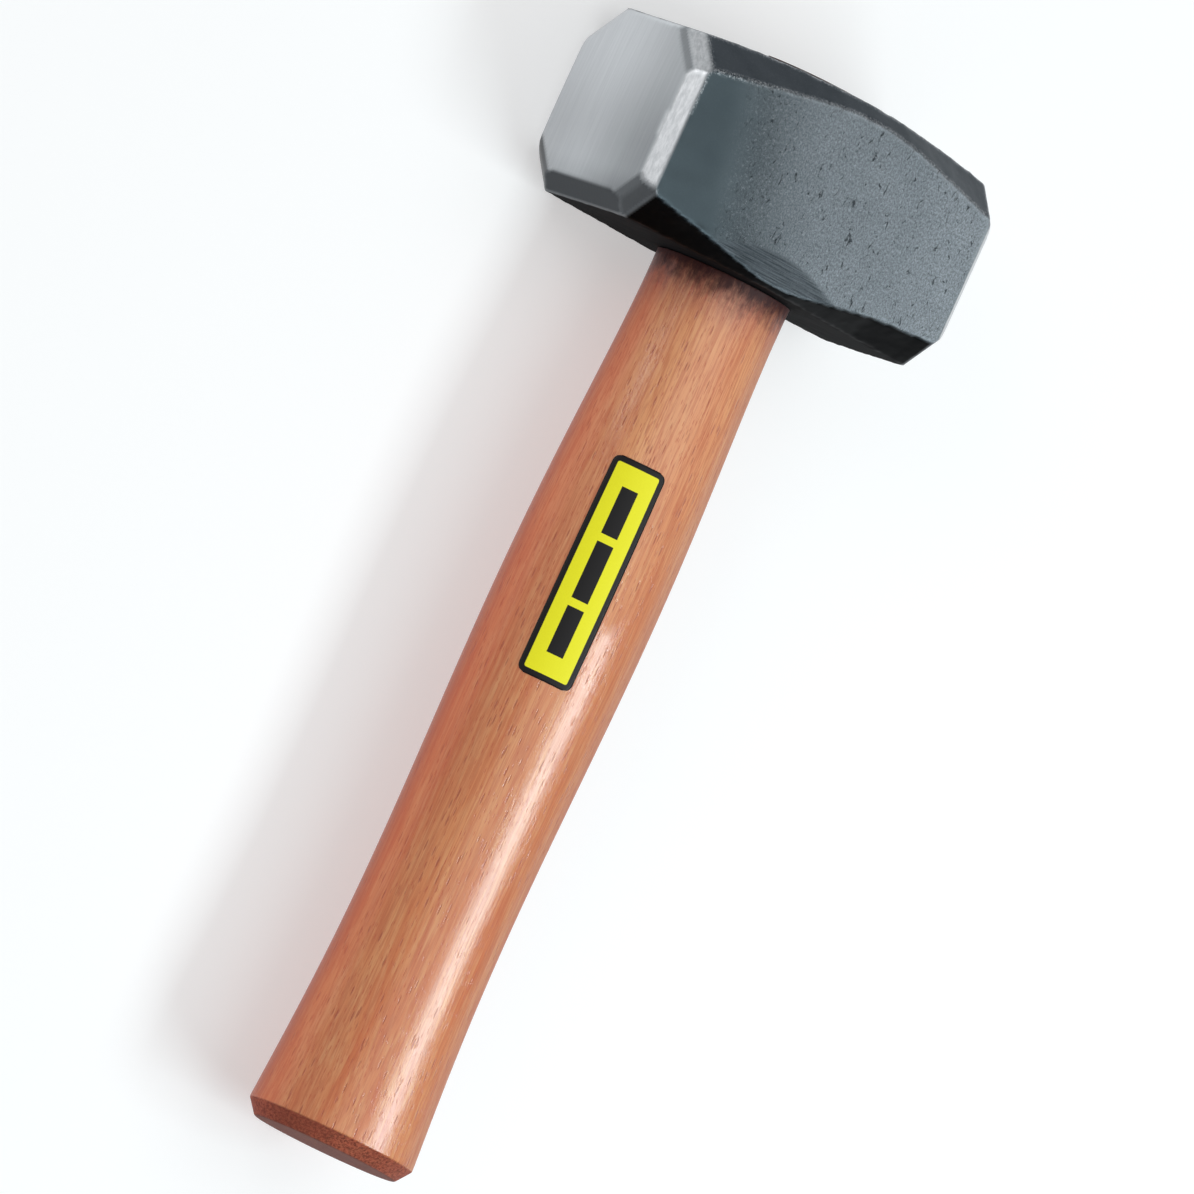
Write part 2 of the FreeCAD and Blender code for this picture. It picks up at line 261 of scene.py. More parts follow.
def scale_tone(made, masks, marks):
    """Dark forging scale, with painted shade that makes it nearly black on the underside."""
    tone = made.mix(marks.clouds, *SCALE)
    tone = made.mix(made.step(marks.speckle, 0.5, 0.75, 0.0, 0.4), tone, SCALE_FLECK)
    # Painted shade on the underside and low bevels.
    return made.mix(masks.under, tone, made.mix(marks.scratches, *SCALE_IN_PAINTED_SHADE))


def cheek_tone(made, masks, marks):
    """Dull ground cheeks: painted shade by the striking face and painted light towards the rear,
    mottled, streaked low down and pitted.
    """
    dark = made.mix(marks.clouds, *SHADED_CHEEK)
    light = made.mix(marks.clouds, *LIT_CHEEK)
    # Painted shade by the striking face, painted light towards the rear.
    tone = made.mix(masks.toward_rear, dark, light)
    strength = made.step(masks.smooth, 0, 1, 0.55, 0.2)
    mottled = made.times(made.step(marks.speckle, 0.36, 0.62), strength)
    tone = made.mix(mottled, tone, CHEEK_MOTTLE)
    flecks = made.times(made.step(marks.grain, 0.53, 0.64, 0.0, 0.38), marks.plain)
    tone = made.mix(flecks, tone, CHEEK_FLECK)
    streaks = made.mix(made.step(marks.scratches, 0.3, 0.7), *GROUND_STREAKS)
    tone = made.mix(made.times(masks.facet, 0.85), tone, streaks)
    return made.mix(made.times(marks.pits, 0.75), tone, PIT)


def steel_relief(made, masks, marks):
    """The head's normal: grain and pits on the cheeks, brush marks on the ends, and scratches."""
    uneven = made.minus(made.times(marks.grain, marks.plain), made.times(marks.pits, 0.6))
    normal = made.bump(made.times(uneven, masks.cheek), 0.18)
    brushed = made.plus(marks.brushed, made.times(marks.crossed, masks.bright))
    normal = made.bump(made.times(brushed, masks.bare), 0.022, normal)
    return made.bump(made.times(marks.scratches, masks.facet), 0.03, normal)


def head_steel():
    """Forged steel: bare brushed ends, dull ground cheeks, and dark scale on the rest."""
    made = Shader("forged_steel")
    painted = {}
    for layer, names in HEAD_LAYERS.items():
        painted.update(zip(names, made.painted(layer)))
    masks = SimpleNamespace(**painted)
    marks = steel_marks(made, masks)

    tone = made.mix(
        masks.cheek, scale_tone(made, masks, marks), cheek_tone(made, masks, marks)
    )
    tone = made.mix(masks.bare, tone, bare_end_tone(made, masks, marks))
    worn = made.times(masks.rim, made.step(marks.speckle, 0.46, 0.64, 0.0, 0.75))
    tone = made.mix(worn, tone, WORN_EDGE)

    roughness = made.mix(masks.cheek, grey(0.42), grey(0.52))
    roughness = made.mix(masks.bare, roughness, grey(0.38))
    roughness = made.mix(masks.belly, roughness, grey(0.80))
    made.set(
        Base_Color=tone,
        Metallic=made.minus(1.0, masks.belly),
        Roughness=roughness,
        Specular_IOR_Level=0.04,
        Normal=steel_relief(made, masks, marks),
    )
    return made.material


# Handle wood.
WOOD_BANDS = (srgb(210, 112, 64), srgb(230, 154, 98))
WOOD_PATCH = srgb(216, 132, 84)
WOOD_BLOTCH = srgb(238, 188, 132)
WOOD_NEAR_HEAD = srgb(250, 182, 130)
WOOD_FIBRE = srgb(192, 94, 54)
FINE_PORE = srgb(190, 80, 42)
LONG_PORE = srgb(156, 58, 30)
# Painted shade on the handle's sides, underside and rear side.
SHADED_WOOD_SIDE = srgb(208, 94, 58)
SHADED_WOOD_UNDERSIDE = srgb(140, 56, 42)
SHADED_WOOD_REAR_SIDE = srgb(150, 80, 56)
# Painted shade just below the head: a soft band and a dark core.
PAINTED_NECK_HALF_SHADE = srgb(150, 66, 62)
PAINTED_NECK_SHADE = srgb(46, 8, 16)
END_GRAIN = (srgb(92, 40, 36), srgb(182, 92, 70))
END_PATCH = srgb(124, 54, 44)
FLAT_END = srgb(72, 32, 28)


def open_pores(made, across, along, width, chance):
    """Short dashes along the handle: cells this many per mm, of which only some are open."""
    distance, number = made.cells(made.stretched(across, along, across))
    return made.times(made.step(distance, width, 0.18), made.step(number, *chance))


def wood_figure(made):
    """The patterns of the handle's wood, by name."""
    band_place = made.stretched(0.14, 0.005, 0.18)
    return SimpleNamespace(
        fibres=made.noise(made.stretched(2.0, 0.045, 2.0), detail=5, roughness=0.7),
        bands=made.noise(band_place, detail=4, roughness=0.6, distortion=0.3),
        patches=made.noise(made.stretched(0.07, 0.020, 0.07), detail=3),
        blotches=made.noise(made.stretched(0.9, 0.08, 0.9), detail=4, roughness=0.6),
        long_pores=open_pores(made, 1.35, 0.19, 0.34, (0.50, 0.75)),
        fine_pores=open_pores(made, 2.6, 0.40, 0.36, (0.45, 0.7)),
    )


def wood_tone(made, figure, below):
    """The wood's own colour, paler towards the head; below is metres below the head."""
    tone = made.mix(made.step(figure.bands, 0.32, 0.68), *WOOD_BANDS)
    tone = made.mix(made.step(figure.patches, 0.40, 0.66, 0.0, 0.6), tone, WOOD_PATCH)
    tone = made.mix(made.step(figure.blotches, 0.42, 0.70, 0.0, 0.32), tone, WOOD_BLOTCH)
    tone = made.mix(made.step(below, 120 * MM, 20 * MM, 0.0, 0.40), tone, WOOD_NEAR_HEAD)
    tone = made.mix(made.step(figure.fibres, 0.42, 0.60, 0.0, 0.55), tone, WOOD_FIBRE)
    tone = made.mix(made.times(figure.fine_pores, 0.60), tone, FINE_PORE)
    return made.mix(made.times(figure.long_pores, 0.55), tone, LONG_PORE)


def end_grain_tone(made, figure, flat_end):
    """Speckled end grain, darker on the flat ends than on the butt's chamfer."""
    speckle = made.noise(made.stretched(1.5, 1.5, 1.5), detail=5, roughness=0.8)
    tone = made.mix(made.step(speckle, 0.38, 0.62), *END_GRAIN)
    tone = made.mix(made.step(figure.patches, 0.35, 0.65, 0.0, 0.5), tone, END_PATCH)
    return made.mix(flat_end, tone, FLAT_END)


def handle_wood():
    """Open-pored reddish hardwood under gloss varnish, thin on its sides, with painted shade on
    its sides, underside and rear side and just below the head.
    """
    made = Shader("varnished_hardwood")
    figure = wood_figure(made)
    below = made.minus(NECK_Y, made.axes(made.place)[1])
    tone = wood_tone(made, figure, below)

    facing = made.axes(made.node("ShaderNodeNewGeometry").outputs["Normal"])
    side = made.step(facing[2], 0.75, 0.1)
    underside = made.step(facing[2], 0.25, -0.45)
    rear_side = made.step(facing[0], 0.25, 0.62)
    # Painted shade on the sides, underside and rear side, by which way the surface faces.
    tone = made.mix(made.times(side, 0.50), tone, SHADED_WOOD_SIDE)
    tone = made.mix(made.times(underside, 0.55), tone, SHADED_WOOD_UNDERSIDE)
    tone = made.mix(made.times(rear_side, 0.5), tone, SHADED_WOOD_REAR_SIDE)

    # Painted shade with a ragged edge just below the head.
    ragged = made.noise(made.stretched(0.55, 0.25, 0.55), detail=4, roughness=0.7)
    reach = made.plus(below, made.times(made.minus(ragged, 0.5), 11 * MM))
    neck_shade = made.step(reach, 8.5 * MM, 0.5 * MM)
    tone = made.mix(made.step(reach, 15 * MM, 3 * MM, 0.0, 0.5), tone, PAINTED_NECK_HALF_SHADE)
    tone = made.mix(made.times(neck_shade, 0.95), tone, PAINTED_NECK_SHADE)

    flat_facing = made.axes(made.node("ShaderNodeNewGeometry").outputs["True Normal"])
    endwards = made.math("ABSOLUTE", flat_facing[1])
    end_grain = made.step(endwards, 0.25, 0.5)
    flat_end = made.step(endwards, 0.8, 0.95, 0.0, 0.7)
    end_tone = end_grain_tone(made, figure, flat_end)
    tone = made.mix(made.times(end_grain, 0.9), tone, end_tone)

    bare = made.largest(
        neck_shade,
        end_grain,
        made.times(side, 0.7),
        made.times(underside, 0.6),
        made.times(rear_side, 0.95),
    )
    height = made.minus(made.times(figure.fibres, 0.3), figure.long_pores)
    height = made.minus(height, made.times(figure.fine_pores, 0.4))
    varnish = made.plus(made.times(height, 0.5), made.times(figure.fibres, 0.5))
    made.set(
        Base_Color=tone,
        Roughness=made.step(end_grain, 0, 1, 0.5, 0.95),
        Specular_IOR_Level=0.25,
        Normal=made.bump(height, 0.045),
        Coat_Weight=made.minus(1.0, made.times(bare, 0.95)),
        Coat_Roughness=0.025,
        Coat_IOR=1.6,
        Coat_Normal=made.bump(varnish, 0.075),
    )
    return made.material


def wedge_wood():
    """Bare sawn hardwood."""
    made = Shader("wedge_hardwood")
    fibres = made.noise(made.stretched(1.8, 0.06, 1.8), detail=4, roughness=0.6)
    tone = made.mix(fibres, srgb(150, 98, 60), srgb(206, 160, 112))
    made.set(Base_Color=tone, Roughness=0.7, Normal=made.bump(fibres, 0.08))
    return made.material


def wedge_steel():
    """Dull mild steel, marked by the hammer that drove it in."""
    made = Shader("wedge_steel")
    dents = made.noise(made.stretched(0.7, 0.7, 0.7), detail=3, roughness=0.6)
    tone = made.mix(dents, (0.16, 0.16, 0.165, 1), (0.42, 0.42, 0.43, 1))
    made.set(Base_Color=tone, Metallic=1.0, Roughness=0.5, Normal=made.bump(dents, 0.15))
    return made.material


def floor_white():
    """A plain pale floor, which glows a little so that shadows stay soft."""
    made = Shader("studio_floor")
    made.set(
        Base_Color=grey(0.60),
        Roughness=0.9,
        Specular_IOR_Level=0.1,
        Emission_Color=grey(1),
        Emission_Strength=0.45,
    )
    return made.material


# ---------------------------------------------------------------------------
# Mesh helpers
# ---------------------------------------------------------------------------

WELD = 1e-6
EDGE_SAMPLE = 0.3 * MM


def link(piece):
    """Put an object in the scene."""
    bpy.context.scene.collection.objects.link(piece)
    return piece


def smooth_step(value, low, high):
    """0 below low and 1 above high, smooth between them."""
    t = np.clip((value - low) / (high - low), 0, 1)
    return t * t * (3 - 2 * t)


def fractal(points, size_mm, seed):
    """Fractal noise of about -1 to 1 at each point (metres), with features of size_mm."""
    shift = Vector((seed, seed * 1.7, seed * 0.3))
    scale = 1 / (size_mm * MM)
    return np.array([noise.fractal(Vector(p) * scale + shift, 0.8, 2.0, 3) for p in points])


def paint(mesh, name, *channels):
    """Write up to three numbers per point into a colour attribute."""
    count = len(mesh.vertices)
    values = np.zeros((count, 4), dtype=np.float32)
    values[:, 3] = 1
    for index, channel in enumerate(channels):
        values[:, index] = channel
    attribute = mesh.attributes.new(name, "FLOAT_COLOR", "POINT")
    attribute.data.foreach_set("color", values.ravel())


def softly(mesh, values):
    """Values per point, each averaged with its neighbours'."""
    ends = np.empty(len(mesh.edges) * 2, dtype=np.int32)
    mesh.edges.foreach_get("vertices", ends)
    first, second = ends.reshape(-1, 2).T
    values = np.asarray(values, dtype=float)
    total = values + np.bincount(first, values[second], len(values))
    total += np.bincount(second, values[first], len(values))
    return total / (np.bincount(ends, minlength=len(values)) + 1)


def remeshed(node, voxel):
    """An even, closed copy of a CAD node's mesh."""
    scratch = link(bpy.data.objects.new("remesh_scratch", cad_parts[node].data.copy()))
    remesh = scratch.modifiers.new("even", "REMESH")
    remesh.mode = "VOXEL"
    remesh.voxel_size = voxel
    remesh.use_smooth_shade = True
    depsgraph = bpy.context.evaluated_depsgraph_get()
    even = bpy.data.meshes.new_from_object(scratch.evaluated_get(depsgraph))
    bpy.data.objects.remove(scratch)
    even.materials.clear()
    return even


def points_and_normals(mesh):
    """Arrays of a mesh's points and of its normals there."""
    count = len(mesh.vertices)
    points = np.empty(count * 3, dtype=np.float32)
    normals = np.empty(count * 3, dtype=np.float32)
    mesh.vertices.foreach_get("co", points)
    mesh.vertex_normals.foreach_get("vector", normals)
    return points.reshape(-1, 3).astype(float), normals.reshape(-1, 3).astype(float)


def surface_under(points, node):
    """The CAD surface's own normal nearest to each point."""
    tree = BVHTree.FromObject(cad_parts[node], bpy.context.evaluated_depsgraph_get())
    return np.array([tree.find_nearest(Vector(point))[1] for point in points])


def sharp_edge_distance(points, node, angle):
    """Distance in mm from each point to the CAD node's nearest edge sharper than angle."""
    bm = bmesh.new()
    bm.from_mesh(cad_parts[node].data)
    bmesh.ops.remove_doubles(bm, verts=bm.verts, dist=WELD)
    samples = []
    for edge in bm.edges:
        if len(edge.link_faces) == 2 and edge.calc_face_angle(0) > angle:
            start, end = (vertex.co for vertex in edge.verts)
            count = max(int((end - start).length / EDGE_SAMPLE), 1)
            samples += [start.lerp(end, step / count) for step in range(count + 1)]
    bm.free()
    tree = KDTree(len(samples))
    for index, sample in enumerate(samples):
        tree.insert(sample, index)
    tree.balance()
    return np.array([tree.find(Vector(point))[2] for point in points]) / MM


# ---------------------------------------------------------------------------
# Head
# ---------------------------------------------------------------------------

HEAD_VOXEL = 0.6 * MM
SHARP_EDGE = 0.35
# The hollow ground low on each cheek, in mm from the head's centre: a parabola bounds it.
HOLLOW_CREST = -13.6
HOLLOW_MIDDLE = -5.5
HOLLOW_CURVE = 0.012
HOLLOW_HALF_LENGTH = 30
# Unevenness, in mm: the size of its features, and how far it moves the surface.
WAVE_SIZE = 16
WAVE_LIFT = 0.10
RIPPLE_SIZE = 3.0
RIPPLE_LIFT = 0.035
WORN_EDGE_LIFT = 0.12
HOLLOW_SLOPE = 0.06
# Masks that are softened where two surfaces meet.
SOFT_MASKS = ("bare", "cheek", "under", "dim", "bright", "belly")


def painted_end_shade_amount(along, up, out, y, z):
    """How much shade is painted on the ends: less on their faces, more on their low bevels."""
    face = 0.34 - 0.16 * smooth_step(y, -19, -12) - 0.18 * smooth_step(y, -8, 14)
    face = (face + 0.38 * smooth_step(z, -8, 19)) * (along > 0.92)
    low_bevel = (up < -0.25) * np.where(np.abs(out) > 0.25, 0.84, 0.95)
    high_corner = 0.65 * (up > 0.25) * (out > 0.25) * (along > 0.82)
    return np.maximum.reduce([face, low_bevel, high_corner])


def head_masks(points):
    """Arrays by name: the masks of HEAD_LAYERS, the hollow's depth in mm and the edges' wear."""
    x, y, z = ((points - np.array(HEAD_CENTRE)) / MM).T
    across, up, out = surface_under(points, "head").T
    along = np.abs(across)
    from_edge = sharp_edge_distance(points, "head", SHARP_EDGE)

    bare = (along > 0.3) * 1.0
    cheek = (np.abs(out) > 0.95) * 1.0
    hollow_line = HOLLOW_CREST - HOLLOW_CURVE * (x - HOLLOW_MIDDLE) ** 2
    depth = np.clip(hollow_line - y, 0, None)
    return {
        "bare": bare,
        "cheek": cheek,
        "rim": (1 - smooth_step(from_edge, 0.2, 1.1)) * (y > 4) * (1 - bare) * (np.abs(z) > 14),
        # Painted shade on the underside and low bevels.
        "under": (up < -0.3) * (1 - bare),
        "smooth": (1 - smooth_step(x + 0.25 * y, -33, -20)) * cheek,
        "facet": smooth_step(depth, 0, 1.5) * cheek,
        # Painted shade on the ends.
        "dim": bare * painted_end_shade_amount(along, up, out, y, z),
        # Painted light and shade across the cheeks: dark by the striking face, light towards the
        # rear.
        "toward_rear": 0.65 * smooth_step(x + 0.35 * y, -36, 2) + 0.25 * smooth_step(x, -5, 55),
        "bright": (up > -0.25) * (np.abs(out) > 0.3) * bare * (along < 0.82),
        "belly": (up < -0.9) * 1.0,
        "hollow": depth * cheek * (np.abs(x) < HOLLOW_HALF_LENGTH),
        "edge": 1 - smooth_step(from_edge, 0.2, 0.9),
    }


def head_lift(points, masks):
    """How far, in mm, forging, grinding and wear move each point along its normal."""
    forged = 1 - masks["bare"]
    ripples = fractal(points, RIPPLE_SIZE, 5.0)
    lift = WAVE_LIFT * fractal(points, WAVE_SIZE, 1.0) * forged
    lift += RIPPLE_LIFT * ripples * forged * (1 - masks["smooth"])
    lift += WORN_EDGE_LIFT * ripples * forged * masks["edge"]
    return lift - HOLLOW_SLOPE * masks["hollow"]


def make_head():
    """The head: an even mesh with forging unevenness, ground hollows and worn edges."""
    mesh = remeshed("head", HEAD_VOXEL)
    points, normals = points_and_normals(mesh)
    masks = head_masks(points)
    points += normals * (head_lift(points, masks) * MM)[:, None]
    mesh.vertices.foreach_set("co", points.astype(np.float32).ravel())
    mesh.update()
    for name in SOFT_MASKS:
        masks[name] = softly(mesh, masks[name])
    for layer, names in HEAD_LAYERS.items():
        paint(mesh, layer, *(masks[name] for name in names))
    mesh.materials.append(head_steel())
    piece = link(bpy.data.objects.new("forged_head", mesh))
    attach(piece, "root")
    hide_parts("head")


# ---------------------------------------------------------------------------
# Handle
# ---------------------------------------------------------------------------

GRIP_SEGMENTS = 144
GRIP_RING_STEP = 1.2 * MM
GRIP_SAMPLES = 120
BUTT_CHAMFER_LONG = 3.6 * MM
BUTT_CHAMFER_IN = 2.75 * MM
BUTT_EDGE_RADIUS = 0.45 * MM


class Grip:
    """The handle's oval, read from the CAD handle along its length and smoothed."""

    def __init__(self):
        self.top = NECK_Y - 0.2 * MM
        self.bottom = BUTT_Y + BUTT_CHAMFER_LONG
        graph = bpy.context.evaluated_depsgraph_get()
        tree = BVHTree.FromObject(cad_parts["handle"], graph)
        margin = 0.05 * MM
        places = np.linspace(self.bottom + margin, self.top - margin, GRIP_SAMPLES)
        right, left, upward = (
            np.array([self.reach(tree, y, Vector(way)) for y in places])
            for way in ((1, 0, 0), (-1, 0, 0), (0, 0, 1))
        )
        fit = np.polynomial.Polynomial.fit
        self.middle = fit(places, (right - left) / 2, 2)
        self.across = fit(places, (right + left) / 2, 9)
        self.upward = fit(places, upward, 9)

    @staticmethod
    def reach(tree, y, direction):
        """Distance from the head's axis to the handle's CAD surface."""
        return tree.ray_cast(Vector((0, y, AXIS_Z)), direction)[3]

    def point(self, y, angle, inset=0.0):
        """A point of the surface, moved in by inset; angle 0 is +X and 90 degrees is up."""
        place = min(max(y, self.bottom), self.top)
        wide = self.across(place) - inset
        deep = self.upward(place) - inset
        middle = self.middle(place)
        return Vector((middle + wide * math.cos(angle), y, AXIS_Z + deep * math.sin(angle)))


def rounded_profile(corners, radius):
    """The same polyline with each inner corner rounded by a short curve."""
    path = [corners[0]]
    for before, corner, after in zip(corners, corners[1:], corners[2:]):
        back = (before - corner).normalized() * radius
        ahead = (after - corner).normalized() * radius
        for step in range(5):
            t = step / 4
            path.append(corner + back * (1 - t) ** 2 + ahead * t**2)
    path.append(corners[-1])
    return path


def bridge(bm, first, second):
    """Quads between two rings of vertices."""
    count = len(first)
    for index in range(count):
        following = (index + 1) % count
        face = bm.faces.new((first[index], first[following], second[following], second[index]))
        face.smooth = True


def grip_mesh(bm, grip):
    """The closed solid of the handle below the head."""
    path = [Vector((y, 0)) for y in np.arange(grip.top, grip.bottom + 2 * MM, -GRIP_RING_STEP)]
    end = rounded_profile(
        [
            Vector((grip.bottom + 1 * MM, 0)),
            Vector((grip.bottom, 0)),
            Vector((BUTT_Y, BUTT_CHAMFER_IN)),
            Vector((BUTT_Y, BUTT_CHAMFER_IN + 4 * MM)),
        ],
        BUTT_EDGE_RADIUS,
    )
    cap = [Vector((BUTT_Y, BUTT_CHAMFER_IN + inset * MM)) for inset in (7, 10, 13)]
    angles = [2 * math.pi * index / GRIP_SEGMENTS for index in range(GRIP_SEGMENTS)]
    rings = []
    for y, inset in path + end + cap:
        rings.append([bm.verts.new(grip.point(y, angle, inset)) for angle in angles])
    for first, second in zip(rings, rings[1:]):
        bridge(bm, first, second)
    bm.faces.new(rings[-1])
    bm.faces.new(list(reversed(rings[0])))


def tenon_mesh(bm):
    """The CAD handle's tenon, with its kerf and the seats of the steel wedges."""
    part = bmesh.new()
    part.from_mesh(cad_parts["handle"].data)
    bmesh.ops.remove_doubles(part, verts=part.verts, dist=WELD)
    everything = part.verts[:] + part.edges[:] + part.faces[:]
    plane = Vector((0, NECK_Y - 0.5 * MM, 0))
    sliced = bmesh.ops.bisect_plane(
        part, geom=everything, dist=1e-7, plane_co=plane, plane_no=(0, 1, 0), clear_inner=True
    )
    rim = [item for item in sliced["geom_cut"] if isinstance(item, bmesh.types.BMEdge)]
    bmesh.ops.holes_fill(part, edges=rim)
    for face in part.faces:
        face.smooth = False
    mesh = bpy.data.meshes.new("tenon_only")
    part.to_mesh(mesh)
    part.free()
    bm.from_mesh(mesh)
    bpy.data.meshes.remove(mesh)


def make_handle(grip):
    """The handle: a fine loft that follows the CAD one, with its tenon above."""
    bm = bmesh.new()
    grip_mesh(bm, grip)
    tenon_mesh(bm)
    bmesh.ops.recalc_face_normals(bm, faces=bm.faces)
    mesh = bpy.data.meshes.new("hardwood_handle")
    bm.to_mesh(mesh)
    bm.free()
    mesh.materials.append(handle_wood())
    piece = link(bpy.data.objects.new("hardwood_handle", mesh))
    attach(piece, "root")
    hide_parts("handle")


# ---------------------------------------------------------------------------
# Label
# ---------------------------------------------------------------------------

LABEL_HALF_LONG = 27.0 * MM
LABEL_HALF_WIDE = 7.0 * MM
LABEL_CORNER = 2.0 * MM
LABEL_FILM = 0.15 * MM
LABEL_SUNK = 0.02 * MM
LABEL_LONG_STEPS = 108
LABEL_WIDE_STEPS = 28
# The print, in mm: three dark bars in a row, inside a dark border.
BORDER = 1.44
BAR_HALF_WIDE = 2.1
BARS_HALF_LONG = 20.55
GAP_PLACE = 8.0
GAP_HALF = 0.95


def label_material():
    """A plain printed label: a dark border and three dark bars on yellow."""
    made = Shader("label_print")
    place = made.axes(made.node("ShaderNodeUVMap", uv_map="print").outputs[0])
    along = made.math("ABSOLUTE", place[0])
    across = made.math("ABSOLUTE", place[1])

    def within(distance, limit):
        return made.step(distance, limit + 0.05, limit - 0.05)

    corner = LABEL_CORNER / MM
    past_long = made.minus(along, LABEL_HALF_LONG / MM - corner)
    past_wide = made.minus(across, LABEL_HALF_WIDE / MM - corner)
    out_long = made.math("POWER", made.largest(past_long, 0.0), 2.0)
    out_wide = made.math("POWER", made.largest(past_wide, 0.0), 2.0)
    outside = made.math("SQRT", made.plus(out_long, out_wide))
    inside = made.math("MINIMUM", made.largest(past_long, past_wide), 0.0)
    from_edge = made.minus(made.plus(outside, inside), corner)
    border = made.step(from_edge, -BORDER - 0.06, -BORDER + 0.06)

    gap = within(made.math("ABSOLUTE", made.minus(along, GAP_PLACE)), GAP_HALF)
    bars = made.times(within(across, BAR_HALF_WIDE), within(along, BARS_HALF_LONG))
    bars = made.times(bars, made.minus(1.0, gap))
    mottle = made.noise(made.stretched(3, 3, 3))
    yellow = made.mix(mottle, srgb(247, 240, 28), srgb(255, 249, 40))
    tone = made.mix(made.largest(border, bars), yellow, srgb(18, 15, 16))
    made.set(Base_Color=tone, Roughness=0.4, Specular_IOR_Level=0.3)
    return made.material


def label_sheet(bm, grip, inset, places):
    """Rows of new vertices over the label, at one depth; places records each one's print place."""
    centre = (LABEL_LOW + LABEL_HIGH) / 2
    wide = grip.across(centre.y)
    deep = grip.upward(centre.y)
    middle = math.acos((centre.x - grip.middle(centre.y)) / wide)
    speed = math.hypot(wide * math.sin(middle), deep * math.cos(middle))
    rows = []
    for i in range(LABEL_LONG_STEPS + 1):
        along = LABEL_HALF_LONG * (2 * i / LABEL_LONG_STEPS - 1)
        past = max(abs(along) - (LABEL_HALF_LONG - LABEL_CORNER), 0)
        rounding = math.sqrt(max(LABEL_CORNER**2 - past**2, 0))
        half = LABEL_HALF_WIDE - LABEL_CORNER + rounding
        row = []
        for j in range(LABEL_WIDE_STEPS + 1):
            across = half * (2 * j / LABEL_WIDE_STEPS - 1)
            vertex = bm.verts.new(grip.point(centre.y - along, middle - across / speed, inset))
            places[vertex] = (along / MM, across / MM)
            row.append(vertex)
        rows.append(row)
    return rows


def sheet_border(rows):
    """The vertices round a sheet, in order."""
    first = [row[0] for row in rows]
    last = [row[-1] for row in rows]
    return rows[0][:-1] + last[:-1] + rows[-1][:0:-1] + first[:0:-1]


def make_label(grip):
    """The label: a thin closed film wrapped on the handle."""
    bm = bmesh.new()
    layer = bm.loops.layers.uv.new("print")
    places = {}
    sheets = [label_sheet(bm, grip, inset, places) for inset in (-LABEL_FILM, LABEL_SUNK)]
    for rows in sheets:
        for row, following in zip(rows, rows[1:]):
            for j in range(LABEL_WIDE_STEPS):
                bm.faces.new((row[j], following[j], following[j + 1], row[j + 1]))
    bridge(bm, *(sheet_border(rows) for rows in sheets))
    bmesh.ops.recalc_face_normals(bm, faces=bm.faces)
    for face in bm.faces:
        face.smooth = True
        for loop in face.loops:
            loop[layer].uv = places[loop.vert]
    mesh = bpy.data.meshes.new("plain_label")
    bm.to_mesh(mesh)
    bm.free()
    mesh.materials.append(label_material())
    piece = link(bpy.data.objects.new("plain_label", mesh))
    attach(piece, "root")
    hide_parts("label")


# ---------------------------------------------------------------------------
# Wedges
# ---------------------------------------------------------------------------

def finish_node(name, material):
    """Give a CAD node that stays its detailed material."""
    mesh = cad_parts[name].data
    mesh.materials.clear()
    mesh.materials.append(material)


def finish_wedges():
    """The wooden wedge and the two steel ones across it keep their CAD shapes."""
    finish_node("wooden_wedge", wedge_wood())
    steel = wedge_steel()
    finish_node("steel_wedge_front", steel)
    finish_node("steel_wedge_rear", steel)


# ---------------------------------------------------------------------------
# Stage, light and camera
# ---------------------------------------------------------------------------

# Lamps: place, what they face, width, height, watts and colour.
WHITE = (1, 1, 1)
COOL_WHITE = (0.86, 0.97, 1.0)
HANDLE_AIM = (0, -0.43, AXIS_Z)
LAMPS = {
    "strip": ((0.643, -0.43, 0.79), HANDLE_AIM, 0.27, 0.80, 7.0, COOL_WHITE),
    "card": ((-0.74, 0.30, 0.42), HEAD_CENTRE, 0.40, 0.40, 1.3, WHITE),
    "overhead": ((0.35, 0.35, 1.75), HEAD_CENTRE, 1.6, 1.6, 6.0, WHITE),
}
# The room: its strength all round, and on its dark side, which starts and ends at these cosines.
ROOM_COLOUR = (0.95, 0.98, 1.0, 1)
ROOM_STRENGTH = 0.42
DARK_SIDE = Vector((0.62, -0.78, 0.05))
DARK_SIDE_START = 0.35
DARK_SIDE_FULL = 0.85
DARK_SIDE_STRENGTH = 0.03
# The floor lies below the unevenness of the head's lower cheek.
FLOOR_DROP = 0.2 * MM


def turned(place, right, up, back):
    """A transform at place whose own axes are right, up and back."""
    return Matrix.Translation(place) @ Matrix((right, up, back)).transposed().to_4x4()


def make_floor():
    """A wide round floor under the hammer."""
    bm = bmesh.new()
    bmesh.ops.create_circle(bm, cap_ends=True, segments=96, radius=5.0)
    mesh = bpy.data.meshes.new("studio_floor")
    bm.to_mesh(mesh)
    bm.free()
    mesh.materials.append(floor_white())
    floor = link(bpy.data.objects.new("studio_floor", mesh))
    floor.location.z = HEAD_LOW.z - FLOOR_DROP


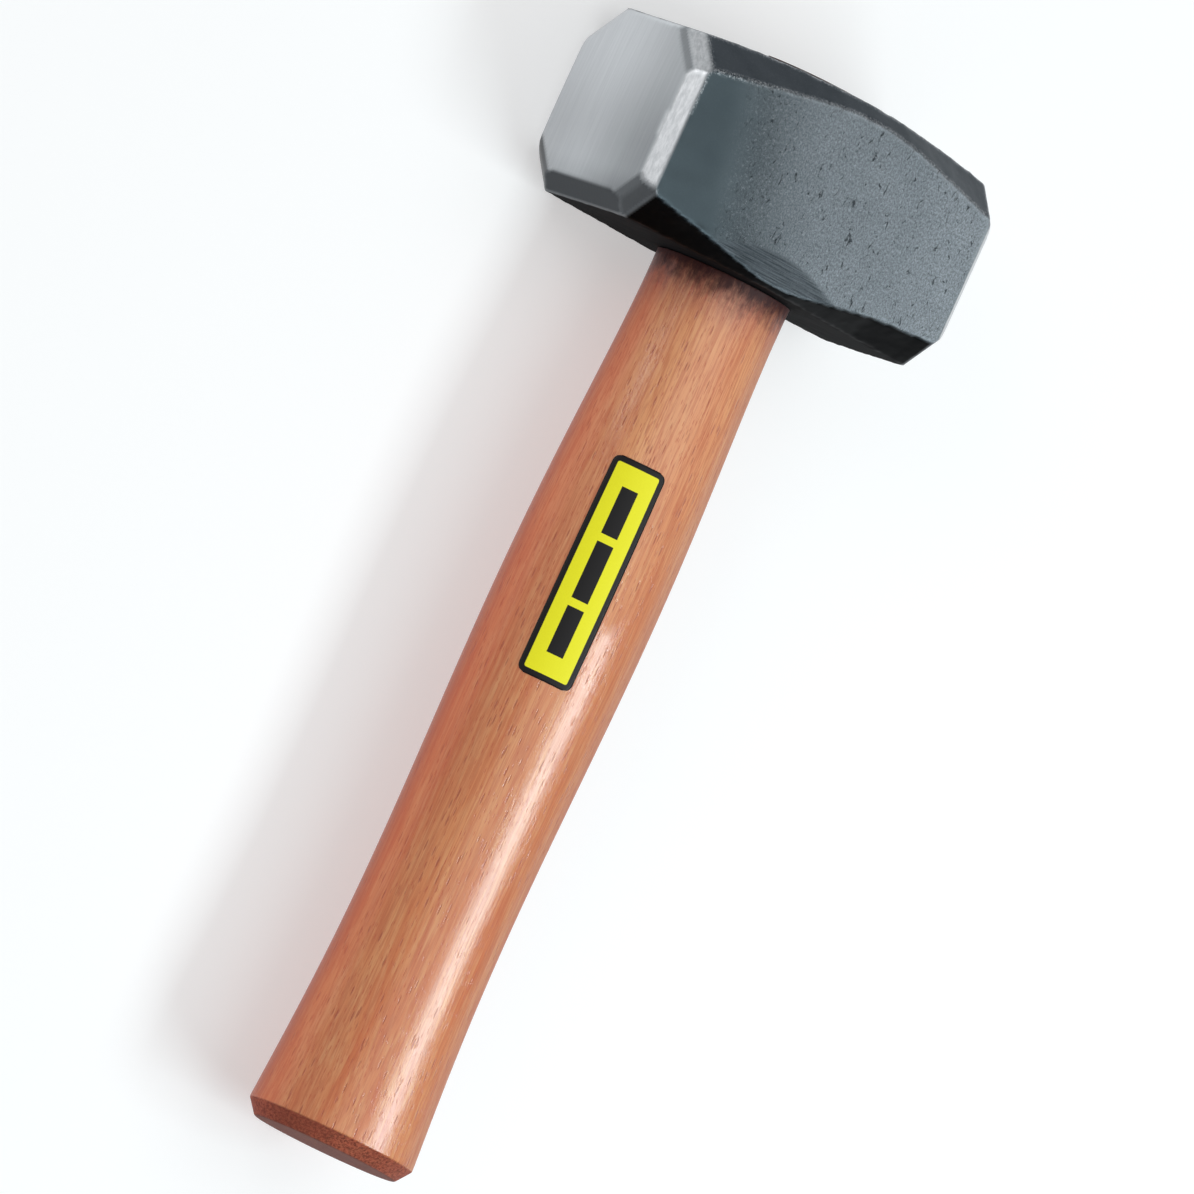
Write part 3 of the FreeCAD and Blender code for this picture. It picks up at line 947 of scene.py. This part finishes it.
def make_lamp(name, place, aim, width, height, watts, colour):
    """A rectangular lamp facing aim, with its height along the handle."""
    light = bpy.data.lights.new(name, "AREA")
    light.shape = "RECTANGLE"
    light.size = width
    light.size_y = height
    light.energy = watts
    light.color = colour
    lamp = link(bpy.data.objects.new(name, light))
    back = (Vector(place) - Vector(aim)).normalized()
    side = Vector((0, 1, 0)).cross(back).normalized()
    lamp.matrix_world = turned(Vector(place), side, back.cross(side), back)
    lamp.visible_camera = False


def make_lights():
    """A strip along the handle, a card by the striking face and a wide soft lamp overhead."""
    for name, settings in LAMPS.items():
        make_lamp(name, *settings)


def make_room():
    """A pale room that darkens on one side."""
    world = bpy.data.worlds.new("pale_room")
    bpy.context.scene.world = world
    world.use_nodes = True
    tree = world.node_tree
    direction = tree.nodes.new("ShaderNodeTexCoord").outputs["Generated"]
    darkness = tree.nodes.new("ShaderNodeVectorMath")
    darkness.operation = "DOT_PRODUCT"
    tree.links.new(direction, darkness.inputs[0])
    darkness.inputs[1].default_value = DARK_SIDE.normalized()
    fade = tree.nodes.new("ShaderNodeMapRange")
    fade.interpolation_type = "SMOOTHSTEP"
    tree.links.new(darkness.outputs["Value"], fade.inputs[0])
    limits = (DARK_SIDE_START, DARK_SIDE_FULL, ROOM_STRENGTH, DARK_SIDE_STRENGTH)
    for socket, number in zip(fade.inputs[1:], limits):
        socket.default_value = number
    background = tree.nodes["Background"]
    tree.links.new(fade.outputs[0], background.inputs["Strength"])
    background.inputs["Color"].default_value = ROOM_COLOUR


def make_camera():
    """The view along VIEW_BACK, from so far off that it is almost without perspective."""
    data = bpy.data.cameras.new("camera")
    data.sensor_width = SENSOR
    data.lens = SENSOR * VIEW_DISTANCE / VIEW_SPAN
    data.clip_end = 100
    camera = link(bpy.data.objects.new("camera", data))
    back = VIEW_BACK.normalized()
    right = (VIEW_RIGHT - back * VIEW_RIGHT.dot(back)).normalized()
    up = back.cross(right)
    aim = HEAD_CENTRE + right * AIM_RIGHT + up * AIM_UP
    camera.matrix_world = turned(aim + back * VIEW_DISTANCE, right, up, back)
    bpy.context.scene.camera = camera


bpy.context.scene.view_settings.view_transform = "Standard"
make_camera()
make_floor()
make_lights()
make_room()
grip = Grip()
make_head()
make_handle(grip)
make_label(grip)
finish_wedges()
